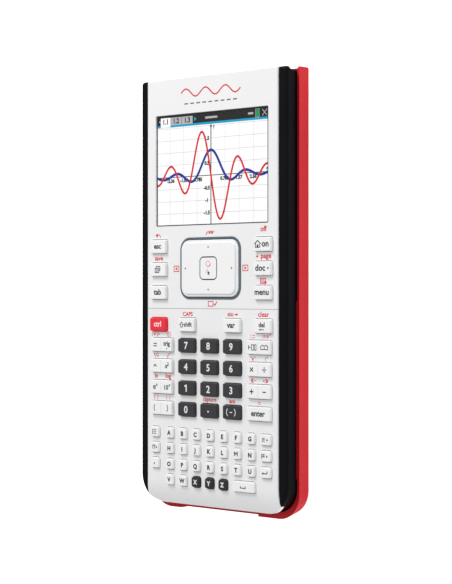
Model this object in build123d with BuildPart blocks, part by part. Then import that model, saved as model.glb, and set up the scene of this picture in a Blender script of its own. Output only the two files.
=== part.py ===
from build123d import *
import os

# A handheld graphing calculator lying on its back in its slide cover.
# Millimetres. +Z comes out of the face, +Y points to the screen end, +X is to the user's right.
# The origin is the centre of the cover's underside, which is what rests on a table.

# ---- driving dimensions -------------------------------------------------------------------

# heights above the table
FACE_Z = 16.0              # front surface of the white faceplates
PLATE_THICK = 1.6
RAIL_TOP_Z = 15.3          # the black side rails sit a little below the faceplates
RAIL_LOW_Z = 13.15
RAIL_ROUND = 1.2
DECK_LOW_Z = 12.9          # underside of the deck that carries the faceplates
SPLIT_Z = 9.0              # joint between the front and rear case
REAR_Z = 2.0               # back of the rear case
COVER_TOP_Z = 7.2          # rim of the slide cover

# plan of the calculator body
BODY_HALF = 43.0
BODY_TOP, BODY_BOTTOM = 96.1, -94.0
BODY_CORNER = 12.5
TOP_CORNER = 1.6
WAIST_HALF = 41.6          # case wall under the rails' overhang
WAIST_TOP, WAIST_BOTTOM = 95.5, -93.1
WAIST_CORNER = 10.3
FRONT_BORE_HALF, FRONT_BORE_TOP, FRONT_BORE_BOTTOM = 39.4, 93.4, -89.0
PLATE_HALF = 38.4          # half width of the white faceplates between the rails
PLATE_GAP = 0.1
SEAT_GAP = 0.05            # glue line under the faceplates
PLATE_EDGE = 0.6
RAIL_BEND_Y = -82.0        # from here the rails' inner edge curves out
RAIL_END_Y = -90.2         # below this the white plate wraps the whole width
RAIL_CURVE = 0.8
SEAM_Y = -6.7              # joint between the two faceplates
SEAM_GAP = 0.15

# the lower faceplate rolls down towards the bottom end
ROLL_START_Y = -84.0
ROLL_RADIUS = 17.0
ROLL_END_Y = -96.0

# rear case
REAR_HALF, REAR_TOP, REAR_BOTTOM = 41.5, 95.5, -93.1
REAR_CORNER = 10.2
REAR_ROUND = 1.8
REAR_BORE_HALF, REAR_BORE_TOP, REAR_BORE_BOTTOM = 39.0, 93.0, -90.7
REAR_FLOOR = 1.5
GROOVE_HALF = 40.6         # floor of the groove that the cover's rails run in
GROOVE_LOW_Z, GROOVE_HIGH_Z = 5.4, 7.4
GROOVE_END_Y = -2.8

# slide cover
COVER_HALF = 43.0
COVER_END = 96.7           # half of its length
COVER_INNER_HALF = 41.9
COVER_FLOOR = 1.5
COVER_CORNER = 11.0
COVER_DRAFT = 1.8          # how far the closed end leans in towards the table
COVER_INNER_BOTTOM = -93.8
COVER_INNER_CORNER = 10.6
COVER_ROUND = 1.3
COVER_NOSE = 1.4           # rounding of the walls' upper corner at the open end
COVER_END_EDGE = 0.6
COVER_RAIL_HALF = 40.95
COVER_RAIL_LOW_Z = 5.7
COVER_RAIL_TOP_Y, COVER_RAIL_END_Y = -3.2, -79.0
NOTCH_RIGHT_X, NOTCH_LEFT_X, NOTCH_RAMP_X = 20.1, -20.5, -26.5
NOTCH_Y = -95.8

# display
SCREEN_Y = 55.0
SCREEN_W, SCREEN_H, SCREEN_CORNER = 66.4, 49.8, 0.6
WINDOW_GAP = 0.1
WINDOW_LOW_Z, WINDOW_TOP_Z = 15.22, 15.8
LCD_GAP = 0.2
LCD_LOW_Z, LCD_TOP_Z = 12.25, 15.12
LCD_FRAME_W, LCD_FRAME_H = 70.0, 53.4
LCD_FRAME_LOW_Z, LCD_FRAME_TOP_Z = 11.6, 14.3
LCD_FRAME_FLOOR = 0.55
FLEX_W, FLEX_THICK, FLEX_Z = 20.0, 0.15, 11.38
FLEX_START_Y, FLEX_END_Y = 38.0, 49.8

# touchpad
PAD_Y = 11.05
RING_W, RING_H, RING_WIDTH, RING_CORNER = 35.7, 27.3, 0.85, 5.5
RING_LOW_Z, RING_TOP_Z = 15.2, 16.15
PAD_GAP = 0.35
PAD_TOP_Z, PAD_STEP_Z = 17.4, 16.75
PAD_STEP = 1.15
PAD_FLANGE = 1.3
PAD_FLANGE_LOW_Z, PAD_FLANGE_TOP_Z = 12.9, 13.55
PAD_CAVITY_TOP_Z = 14.0
CENTRE_SIZE, CENTRE_CORNER, CENTRE_GROOVE, CENTRE_DEPTH = 10.4, 2.2, 0.55, 0.35
SENSOR_W, SENSOR_H, SENSOR_LOW_Z, SENSOR_TOP_Z = 29.0, 20.6, 13.45, 13.9
GIMBAL_Z = 12.5            # height of both tilt axes
GIMBAL_W, GIMBAL_H, GIMBAL_BAR, GIMBAL_THICK = 15.0, 11.0, 1.6, 0.3
AXLE_R, AXLE_HOLE_R, AXLE_L = 0.25, 0.38, 1.9
LUG = 1.5
CARRIER_W, CARRIER_H = 43.0, 22.0
CARRIER_LOW_Z, CARRIER_TOP_Z = 11.6, 12.0
GUIDE_X, GUIDE_Y, GUIDE_R = 20.0, 8.0, 0.8

# keys
KEY_TOP_Z = 17.45
LETTER_TOP_Z = 17.2
KEY_LOW_Z = 13.0
FLANGE_TOP_Z = 14.2
ROCKER_LOW_Z = 12.7
ROCKER_AXIS_Z = 14.0       # double keys rock on stub axles at this height
ROCKER_AXLE_R, ROCKER_SOCKET_R, ROCKER_AXLE_REACH = 0.34, 0.45, 0.5
ROCKER_FLANGE_TOP_Z = 13.85
KEY_GAP = 0.25             # between a key and its hole
FLANGE = 0.4               # how far a key's flange reaches under the faceplate
FLANGE_GAP = 0.25
KEY_W, KEY_H, KEY_CORNER = 10.0, 6.15, 0.9
WIDE_KEY_W = 13.5
LETTER_W, LETTER_H, LETTER_CORNER = 4.9, 4.8, 1.25
KEY_INSET = 0.22           # how much smaller a key's top is on every side
KEY_EDGE = 0.35
NAV_X = 30.7
NAV_ROWS = (21.0, 10.7, 0.4)
MODIFIER_Y = -13.9
DIGIT_PITCH_X = 13.3
DIGIT_ROWS = (-23.0, -32.45, -41.9, -51.35)
WIDE_X = 28.6
LETTER_PITCH_X = 7.95
LETTER_ROWS = (-62.2, -69.15, -76.15, -83.1)
LEFT_LETTER_X, LEFT_LETTER_W = -32.9, 5.2
RIGHT_LETTER_X, RIGHT_LETTER_W = 32.2, 6.2

# circuit board and key mat
BOARD_LOW_Z, BOARD_TOP_Z = 9.6, 10.8
BOARD_HALF, BOARD_TOP, BOARD_BOTTOM, BOARD_CORNER = 37.8, 92.8, -88.4, 9.5
MAT_LOW_Z, MAT_TOP_Z, DOME_TOP_Z, DOME_R = 10.85, 11.4, 12.2, 1.7
MAT_HALF, MAT_TOP, MAT_BOTTOM = 35.9, 26.5, -86.8
MAT_WINDOW_HALF, MAT_WINDOW_LOW = 23.4, -4.5
CHIP_LOW_Z = 8.6
CHIPS = ((0, 62, 16, 16), (-22, 66, 9, 12), (21, 58, 8, 8), (-22, 44, 6, 5), (24, 76, 5, 4))

# battery bay and door
BAY_HALF, BAY_LOW_Y, BAY_HIGH_Y, BAY_WALL = 22.0, -53.0, 9.0, 1.2
BAY_TOP_Z, BAY_ROOF = 8.8, 0.7
DOOR_HALF, DOOR_LOW_Y, DOOR_HIGH_Y, DOOR_CORNER = 23.4, -61.0, 10.4, 2.0
DOOR_THICK, DOOR_GAP = 1.5, 0.15
RAISED_FLOOR_Z = 5.0
TONGUE_X, TONGUE_W, TONGUE_REACH = 12.0, 5.0, 1.6
BATTERY_W, BATTERY_L, BATTERY_Y, BATTERY_CORNER = 42.6, 59.2, -22.6, 1.2
BATTERY_LOW_Z, BATTERY_TOP_Z = 3.75, 8.5
CONTACTS_X = (-6.0, -2.0, 2.0, 6.0)
CONTACT_Y = 8.1

# fasteners and small parts
SCREW_HEAD_R, SCREW_HEAD_H, SCREW_R = 1.8, 0.9, 0.95
CASE_SCREWS = ((-33, 89.0), (33, 89.0), (-37.6, -6.7), (37.6, -6.7), (-32.5, -84.4), (32.5, -84.4))
CASE_SCREW_SEAT_Z, CASE_SCREW_L = 4.6, 6.1
DOOR_SCREWS = ((-17, -57), (17, -57))
DOOR_SCREW_SEAT_Z, DOOR_SCREW_L = 2.95, 4.6
REAR_BOSS_R, FRONT_BOSS_R, HEAD_HOLE_R, SHANK_HOLE_R, PILOT_R = 3.1, 2.4, 2.05, 1.15, 1.0
FEET = ((-33, 78), (33, 78), (-30, -74), (30, -74))
FOOT_R, FOOT_SINK, FOOT_PROUD = 4.0, 0.5, 0.3
USB_X, USB_W, USB_H, USB_L = 0.0, 7.7, 3.9, 9.2
RESET_X, RESET_Y, RESET_R = 29.0, 24.0, 1.1
DOCK_Y, DOCK_W, DOCK_H, DOCK_PINS, DOCK_PITCH = -79.0, 26.0, 5.0, 10, 2.2


# ---- helpers ------------------------------------------------------------------------------

def save(builder, name):
    """Labels a finished piece and writes its STEP file."""
    builder.part.label = name
    export_step(builder.part, f"parts/{name}.step")


def outline(half, top, bottom, corner, top_corner=TOP_CORNER):
    """The body's plan shape: tight corners at the screen end, wide ones at the keypad end."""
    with BuildSketch(mode=Mode.PRIVATE) as sketch:
        with Locations((0, (top + bottom) / 2)):
            Rectangle(2 * half, top - bottom)
        fillet(sketch.vertices().group_by(Axis.Y)[0], corner)
        fillet(sketch.vertices().group_by(Axis.Y)[-1], top_corner)
    return sketch.sketch


def slab(sketch, low, high, mode=Mode.ADD):
    """Extrudes a plan sketch between two heights."""
    extrude(Plane.XY.offset(low) * sketch, amount=high - low, mode=mode)


def block(x, y, w, h, low, high, corner=0.0, mode=Mode.ADD):
    """A block with its plan centre at x, y, between two heights."""
    with BuildSketch(Plane.XY.offset(low), mode=Mode.PRIVATE) as sketch:
        with Locations((x, y)):
            if corner:
                RectangleRounded(w, h, corner)
            else:
                Rectangle(w, h)
    extrude(sketch.sketch, amount=high - low, mode=mode)


def tapered_block(x, y, w, h, low, high, corner, inset):
    """A rounded block whose top is smaller than its base by inset on every side."""
    with BuildSketch(Plane.XY.offset(low), mode=Mode.PRIVATE) as base:
        with Locations((x, y)):
            RectangleRounded(w, h, corner)
    with BuildSketch(Plane.XY.offset(high), mode=Mode.PRIVATE) as top:
        with Locations((x, y)):
            RectangleRounded(w - 2 * inset, h - 2 * inset, corner - inset)
    loft([base.sketch.face(), top.sketch.face()])


def posts(places, radius, low, high, mode=Mode.ADD):
    """Round posts, or round holes, at plan places between two heights."""
    with BuildSketch(Plane.XY.offset(low), mode=Mode.PRIVATE) as sketch:
        with Locations(*places):
            Circle(radius)
    extrude(sketch.sketch, amount=high - low, mode=mode)


def round_edges(edges, radius):
    fillet(edges, radius)


def edges_at_height(builder, z):
    return builder.edges().filter_by_position(Axis.Z, z - 0.01, z + 0.01)


def roll_point(radius, y):
    """A point of the rolled face line, at a radius about the roll's centre."""
    return (y, FACE_Z - ROLL_RADIUS + (radius**2 - (y - ROLL_START_Y) ** 2) ** 0.5)


def trim_to_face(depth, far_z):
    """Removes everything between far_z and the surface lying depth below the face."""
    radius = ROLL_RADIUS - depth
    middle_y = (ROLL_START_Y + ROLL_END_Y) / 2
    start = (ROLL_START_Y, FACE_Z - depth)
    end = roll_point(radius, ROLL_END_Y)
    with BuildSketch(Plane.YZ, mode=Mode.PRIVATE) as sketch:
        with BuildLine():
            ThreePointArc(start, roll_point(radius, middle_y), end)
            Polyline(end, (ROLL_END_Y, far_z), (100, far_z), (100, FACE_Z - depth), start)
        make_face()
    extrude(sketch.sketch, amount=60, both=True, mode=Mode.SUBTRACT)


def inlay(half, end_y):
    """The plan area the faceplates take up between and below the side rails."""
    with BuildSketch(mode=Mode.PRIVATE) as sketch:
        with BuildLine():
            bend = (half, RAIL_BEND_Y)
            tip = (half + RAIL_CURVE, end_y)
            ThreePointArc(bend, (half + RAIL_CURVE / 4, (RAIL_BEND_Y + end_y) / 2), tip)
            Polyline(tip, (50, end_y), (50, -100), (0, -100), (0, 100), (half, 100), bend)
        make_face()
        mirror(about=Plane.YZ)
    return sketch.sketch


# ---- the key table ------------------------------------------------------------------------

class Key:
    """One keycap: where it is, how large it is, and whether it rocks on two switches."""

    def __init__(self, x, y, w=KEY_W, h=KEY_H, corner=KEY_CORNER, top=KEY_TOP_Z, rocker=False):
        self.x, self.y, self.w, self.h = x, y, w, h
        self.corner, self.top, self.rocker = corner, top, rocker

    def domes(self):
        """The places on the mat that this key presses."""
        if self.rocker:
            return [(self.x - self.w / 4, self.y), (self.x + self.w / 4, self.y)]
        return [(self.x, self.y)]


def letter(x, y, w=LETTER_W):
    return Key(x, y, w, LETTER_H, LETTER_CORNER, LETTER_TOP_Z)


def letter_row(y):
    """Seven letter keys between two wider end keys."""
    middle = [letter(i * LETTER_PITCH_X, y) for i in range(-3, 4)]
    return [letter(LEFT_LETTER_X, y, LEFT_LETTER_W), *middle, letter(RIGHT_LETTER_X, y, RIGHT_LETTER_W)]


UPPER_KEYS = {
    "escape_key": [Key(-NAV_X, NAV_ROWS[0])],
    "notepad_key": [Key(-NAV_X, NAV_ROWS[1])],
    "tab_key": [Key(-NAV_X, NAV_ROWS[2])],
    "on_key": [Key(NAV_X, NAV_ROWS[0])],
    "document_key": [Key(NAV_X, NAV_ROWS[1])],
    "menu_key": [Key(NAV_X, NAV_ROWS[2])],
}

LOWER_KEYS = {
    "control_key": [Key(-NAV_X, MODIFIER_Y)],
    "shift_key": [Key(-DIGIT_PITCH_X, MODIFIER_Y)],
    "variable_key": [Key(DIGIT_PITCH_X, MODIFIER_Y)],
    "delete_key": [Key(NAV_X, MODIFIER_Y)],
    "enter_key": [Key(WIDE_X, DIGIT_ROWS[3], WIDE_KEY_W)],
}
for name, y in zip(("equals_trig_key", "power_square_key", "exponent_key", "bracket_key"), DIGIT_ROWS):
    LOWER_KEYS[name] = [Key(-WIDE_X, y, WIDE_KEY_W, rocker=True)]
for name, y in zip(("template_catalog_key", "multiply_divide_key", "plus_minus_key"), DIGIT_ROWS):
    LOWER_KEYS[name] = [Key(WIDE_X, y, WIDE_KEY_W, rocker=True)]
DIGIT_NAMES = (
    ("digit_7_key", "digit_8_key", "digit_9_key"),
    ("digit_4_key", "digit_5_key", "digit_6_key"),
    ("digit_1_key", "digit_2_key", "digit_3_key"),
    ("digit_0_key", "decimal_point_key", "negative_key"),
)
for names, y in zip(DIGIT_NAMES, DIGIT_ROWS):
    for column, name in enumerate(names):
        LOWER_KEYS[name] = [Key((column - 1) * DIGIT_PITCH_X, y)]
for number in (1, 2, 3):
    LOWER_KEYS[f"letter_keys_row_{number}"] = letter_row(LETTER_ROWS[number - 1])
LOWER_KEYS["letter_keys_row_4"] = [
    letter(-3 * LETTER_PITCH_X, LETTER_ROWS[3]),
    letter(-2 * LETTER_PITCH_X, LETTER_ROWS[3]),
    letter(2.5 * LETTER_PITCH_X, LETTER_ROWS[3], LETTER_PITCH_X + LETTER_W),
]
LOWER_KEYS["xyz_keys"] = [letter(i * LETTER_PITCH_X, LETTER_ROWS[3]) for i in (-1, 0, 1)]


def all_keys(*tables):
    return [key for table in tables for group in table.values() for key in group]


def key_holes(keys, grow, low, high):
    """Cuts one rounded hole per key, larger than the key by grow on every side."""
    with BuildSketch(Plane.XY.offset(low), mode=Mode.PRIVATE) as sketch:
        for key in keys:
            with Locations((key.x, key.y)):
                RectangleRounded(key.w + 2 * grow, key.h + 2 * grow, key.corner + grow)
    extrude(sketch.sketch, amount=high - low, mode=Mode.SUBTRACT)


# ---- casings ------------------------------------------------------------------------------

def plate_blank(low_y, high_y):
    """A faceplate before its openings are cut."""
    with BuildSketch(mode=Mode.PRIVATE) as sketch:
        add(outline(BODY_HALF, BODY_TOP, BODY_BOTTOM, BODY_CORNER))
        add(inlay(PLATE_HALF, RAIL_END_Y), mode=Mode.INTERSECT)
        with Locations((0, (low_y + high_y) / 2)):
            Rectangle(120, high_y - low_y, mode=Mode.INTERSECT)
    slab(sketch.sketch, SPLIT_Z, FACE_Z)
    trim_to_face(0, FACE_Z + 10)
    trim_to_face(PLATE_THICK, 0)


def make_upper_faceplate():
    with BuildPart() as part:
        plate_blank(SEAM_Y + SEAM_GAP / 2, 100)
        top_edges = edges_at_height(part, FACE_Z)
        round_edges(top_edges.filter_by_position(Axis.Y, SEAM_Y + 1, 100), PLATE_EDGE)
        block(0, SCREEN_Y, SCREEN_W, SCREEN_H, SPLIT_Z, FACE_Z + 1, SCREEN_CORNER, Mode.SUBTRACT)
        ring_seat = 2 * RING_WIDTH
        block(0, PAD_Y, RING_W + 0.1, RING_H + 0.1, RING_LOW_Z, FACE_Z + 1, RING_CORNER, Mode.SUBTRACT)
        block(0, PAD_Y, RING_W - ring_seat, RING_H - ring_seat, SPLIT_Z, FACE_Z + 1,
              RING_CORNER - RING_WIDTH, Mode.SUBTRACT)
        key_holes(all_keys(UPPER_KEYS), KEY_GAP, SPLIT_Z, FACE_Z + 1)
    save(part, "upper_faceplate")


def make_lower_faceplate():
    with BuildPart() as part:
        plate_blank(-100, SEAM_Y - SEAM_GAP / 2)
        long_edges = edges_at_height(part, FACE_Z).filter_by(Axis.Y)
        round_edges(long_edges, PLATE_EDGE)
        key_holes(all_keys(LOWER_KEYS), KEY_GAP, SPLIT_Z, FACE_Z + 1)
    save(part, "lower_faceplate")


def make_front_case():
    with BuildPart() as part:
        slab(outline(BODY_HALF, BODY_TOP, BODY_BOTTOM, BODY_CORNER), RAIL_LOW_Z, RAIL_TOP_Z)
        rim = edges_at_height(part, RAIL_TOP_Z)
        round_edges(rim.filter_by(Axis.Y), RAIL_ROUND)
        slab(outline(WAIST_HALF, WAIST_TOP, WAIST_BOTTOM, WAIST_CORNER), SPLIT_Z, RAIL_LOW_Z)
        with BuildSketch(mode=Mode.PRIVATE) as seat:
            add(inlay(PLATE_HALF + PLATE_GAP, RAIL_END_Y + PLATE_GAP))
        slab(seat.sketch, FACE_Z - PLATE_THICK - SEAT_GAP, FACE_Z + 1, Mode.SUBTRACT)
        with BuildPart(mode=Mode.PRIVATE) as roll:
            slab(seat.sketch, SPLIT_Z, FACE_Z + 1)
            with Locations((0, (ROLL_START_Y + 100) / 2, FACE_Z)):
                Box(120, 100 - ROLL_START_Y, 20, mode=Mode.SUBTRACT)
            trim_to_face(PLATE_THICK + SEAT_GAP, 0)
        add(roll.part, mode=Mode.SUBTRACT)
        bore = outline(FRONT_BORE_HALF, FRONT_BORE_TOP, FRONT_BORE_BOTTOM, BOARD_CORNER)
        slab(bore, SPLIT_Z, DECK_LOW_Z, Mode.SUBTRACT)
        key_holes(all_keys(UPPER_KEYS, LOWER_KEYS), FLANGE + FLANGE_GAP, DECK_LOW_Z - 1, FACE_Z)
        block(0, SCREEN_Y, LCD_FRAME_W + 0.4, LCD_FRAME_H + 0.4, SPLIT_Z, FACE_Z, 0, Mode.SUBTRACT)
        pad_room = 2 * (PAD_FLANGE - RING_WIDTH + 0.6)
        block(0, PAD_Y, RING_W + pad_room, RING_H + pad_room, SPLIT_Z, FACE_Z, 4, Mode.SUBTRACT)
        for key in all_keys(LOWER_KEYS):
            if key.rocker:
                socket_l = key.h + 2 * FLANGE + 2 * ROCKER_AXLE_REACH + 0.2
                with Locations(Location((key.x, key.y, ROCKER_AXIS_Z), (90, 0, 0))):
                    Cylinder(ROCKER_SOCKET_R, socket_l, mode=Mode.SUBTRACT)
        posts(CASE_SCREWS, FRONT_BOSS_R, SPLIT_Z, DECK_LOW_Z + 0.2)
        guides = [(x, PAD_Y + y) for x in (-GUIDE_X, GUIDE_X) for y in (-GUIDE_Y, GUIDE_Y)]
        posts(guides, GUIDE_R, BOARD_TOP_Z + 0.1, DECK_LOW_Z + 0.2)
        posts(CASE_SCREWS, PILOT_R, SPLIT_Z - 1, CASE_SCREW_SEAT_Z + CASE_SCREW_L + 0.5, Mode.SUBTRACT)
        block(USB_X, BODY_TOP, USB_W + 0.6, 8, SPLIT_Z - 1, BOARD_LOW_Z + 0.2, 0, Mode.SUBTRACT)
    save(part, "front_case")


def make_rear_case():
    with BuildPart() as part:
        slab(outline(REAR_HALF, REAR_TOP, REAR_BOTTOM, REAR_CORNER), REAR_Z, SPLIT_Z)
        round_edges(edges_at_height(part, REAR_Z), REAR_ROUND)
        bore = outline(REAR_BORE_HALF, REAR_BORE_TOP, REAR_BORE_BOTTOM, REAR_CORNER - 2.4)
        slab(bore, REAR_Z + REAR_FLOOR, SPLIT_Z + 1, Mode.SUBTRACT)
        # grooves for the cover's rails, open at the keypad end
        for side in (-1, 1):
            groove_length = GROOVE_END_Y + 100
            with Locations((side * (GROOVE_HALF + 5), GROOVE_END_Y - groove_length / 2,
                            (GROOVE_LOW_Z + GROOVE_HIGH_Z) / 2)):
                Box(10, groove_length, GROOVE_HIGH_Z - GROOVE_LOW_Z, mode=Mode.SUBTRACT)
        # raised floor around the door, battery bay walls and roof
        door_y = (DOOR_LOW_Y + DOOR_HIGH_Y) / 2
        door_l = DOOR_HIGH_Y - DOOR_LOW_Y
        block(0, door_y + 1, 2 * DOOR_HALF + 2.6, door_l + 4.6, REAR_Z, RAISED_FLOOR_Z)
        bay_y = (BAY_LOW_Y + BAY_HIGH_Y) / 2
        bay_l = BAY_HIGH_Y - BAY_LOW_Y
        block(0, bay_y, 2 * (BAY_HALF + BAY_WALL), bay_l + 2 * BAY_WALL, REAR_Z, BAY_TOP_Z + BAY_ROOF)
        posts(CASE_SCREWS, REAR_BOSS_R, REAR_Z + REAR_FLOOR / 2, SPLIT_Z)
        posts(DOOR_SCREWS, FRONT_BOSS_R, REAR_Z + REAR_FLOOR / 2, 8.6)
        posts([(RESET_X, RESET_Y)], RESET_R + 1.3, REAR_Z + 0.5, REAR_Z + REAR_FLOOR)
        # openings
        door_seat_z = REAR_Z + DOOR_THICK + 0.1
        block(0, door_y, 2 * (DOOR_HALF + DOOR_GAP), door_l + 2 * DOOR_GAP, REAR_Z - 1, door_seat_z,
              DOOR_CORNER + DOOR_GAP, Mode.SUBTRACT)
        block(0, bay_y, 2 * BAY_HALF, bay_l, REAR_Z - 1, BAY_TOP_Z, 1, Mode.SUBTRACT)
        for x in (-TONGUE_X, TONGUE_X):
            slot_w = TONGUE_W + 0.4
            slot_l = 2 * TONGUE_REACH + 0.6
            block(x, DOOR_HIGH_Y, slot_w, slot_l, door_seat_z - 0.2, door_seat_z + 1, 0, Mode.SUBTRACT)
        block(0, CONTACT_Y, CONTACTS_X[-1] * 2 + 3, 1.6, BAY_TOP_Z - 1, SPLIT_Z + 1, 0, Mode.SUBTRACT)
        posts(CASE_SCREWS, HEAD_HOLE_R, REAR_Z - 1, CASE_SCREW_SEAT_Z, Mode.SUBTRACT)
        posts(CASE_SCREWS, SHANK_HOLE_R, REAR_Z, SPLIT_Z + 1, Mode.SUBTRACT)
        posts(DOOR_SCREWS, PILOT_R, REAR_Z, DOOR_SCREW_SEAT_Z + DOOR_SCREW_L + 0.3, Mode.SUBTRACT)
        posts(FEET, FOOT_R + 0.1, REAR_Z - 1, REAR_Z + FOOT_SINK, Mode.SUBTRACT)
        posts([(RESET_X, RESET_Y)], RESET_R + 0.2, REAR_Z - 1, REAR_Z + REAR_FLOOR + 1, Mode.SUBTRACT)
        block(0, DOCK_Y, DOCK_W + 0.4, DOCK_H + 0.4, REAR_Z - 1, REAR_Z + REAR_FLOOR + 1, 1, Mode.SUBTRACT)
        usb_low = BOARD_LOW_Z - 0.1 - USB_H
        block(USB_X, REAR_TOP, USB_W + 0.6, 6, usb_low - 0.3, SPLIT_Z + 1, 0, Mode.SUBTRACT)
    save(part, "rear_case")


def make_slide_cover():
    with BuildPart() as part:
        base = outline(COVER_HALF, COVER_END + 10, COVER_DRAFT - COVER_END, COVER_CORNER, 1)
        rim = outline(COVER_HALF, COVER_END + 10, -COVER_END, COVER_CORNER, 1)
        loft([base.face(), (Plane.XY.offset(COVER_TOP_Z) * rim).face()])
        round_edges(edges_at_height(part, 0).filter_by_position(Axis.Y, -100, COVER_END + 8), COVER_ROUND)
        block(0, COVER_END + 10, 4 * COVER_HALF, 20, -1, COVER_TOP_Z + 1, 0, Mode.SUBTRACT)
        round_edges(edges_at_height(part, 0).filter_by(Axis.X).group_by(Axis.Y)[-1], COVER_END_EDGE)
        inside = outline(COVER_INNER_HALF, COVER_END + 6, COVER_INNER_BOTTOM, COVER_INNER_CORNER)
        slab(inside, COVER_FLOOR, COVER_TOP_Z + 1, Mode.SUBTRACT)
        with BuildSketch(Plane.YZ, mode=Mode.PRIVATE) as nose:
            with Locations((COVER_END, COVER_TOP_Z)):
                Rectangle(2 * COVER_NOSE, 2 * COVER_NOSE)
            with Locations((COVER_END - COVER_NOSE, COVER_TOP_Z - COVER_NOSE)):
                Circle(COVER_NOSE, mode=Mode.SUBTRACT)
        extrude(nose.sketch, amount=60, both=True, mode=Mode.SUBTRACT)
        # thumb notch across the closed end
        with BuildSketch(mode=Mode.PRIVATE) as notch:
            with BuildLine():
                left = (NOTCH_LEFT_X, NOTCH_Y)
                ramp = (NOTCH_RAMP_X, -COVER_END)
                Spline(ramp, left, tangents=((1, 0), (1, 0)))
                Polyline(left, (NOTCH_RIGHT_X, NOTCH_Y), (NOTCH_RIGHT_X, -99), (NOTCH_RAMP_X, -99), ramp)
            make_face()
        slab(notch.sketch, -1, COVER_TOP_Z + 1, Mode.SUBTRACT)
        # rails that hook over the rear case
        rail_y = (COVER_RAIL_TOP_Y + COVER_RAIL_END_Y) / 2
        rail_l = COVER_RAIL_TOP_Y - COVER_RAIL_END_Y
        for side in (-1, 1):
            rail_w = COVER_INNER_HALF + 0.3 - COVER_RAIL_HALF
            rail_x = side * (COVER_RAIL_HALF + rail_w / 2)
            block(rail_x, rail_y, rail_w, rail_l, COVER_RAIL_LOW_Z, COVER_TOP_Z)
    save(part, "slide_cover")


# ---- display ------------------------------------------------------------------------------

def make_display():
    with BuildPart() as window:
        block(0, SCREEN_Y, SCREEN_W - 2 * WINDOW_GAP, SCREEN_H - 2 * WINDOW_GAP, WINDOW_LOW_Z, WINDOW_TOP_Z,
              SCREEN_CORNER)
    save(window, "display_window")

    with BuildPart() as panel:
        block(0, SCREEN_Y, SCREEN_W - 2 * LCD_GAP, SCREEN_H - 2 * LCD_GAP, LCD_LOW_Z, LCD_TOP_Z)
    save(panel, "lcd_panel")

    with BuildPart() as frame:
        block(0, SCREEN_Y, LCD_FRAME_W, LCD_FRAME_H, LCD_FRAME_LOW_Z, LCD_FRAME_TOP_Z)
        block(0, SCREEN_Y, SCREEN_W, SCREEN_H, LCD_FRAME_LOW_Z + LCD_FRAME_FLOOR, LCD_FRAME_TOP_Z + 1, 0,
              Mode.SUBTRACT)
        block(0, FLEX_END_Y, FLEX_W + 1, 1.6, LCD_FRAME_LOW_Z - 1, LCD_LOW_Z, 0, Mode.SUBTRACT)
    save(frame, "lcd_frame")

    with BuildPart() as flex:
        flex_l = FLEX_END_Y - FLEX_START_Y
        block(0, (FLEX_START_Y + FLEX_END_Y) / 2, FLEX_W, flex_l, FLEX_Z, FLEX_Z + FLEX_THICK)
        block(0, FLEX_END_Y - FLEX_THICK / 2, FLEX_W, FLEX_THICK, FLEX_Z, LCD_LOW_Z - 0.02)
    save(flex, "lcd_flex_cable")


# ---- touchpad -----------------------------------------------------------------------------

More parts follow.
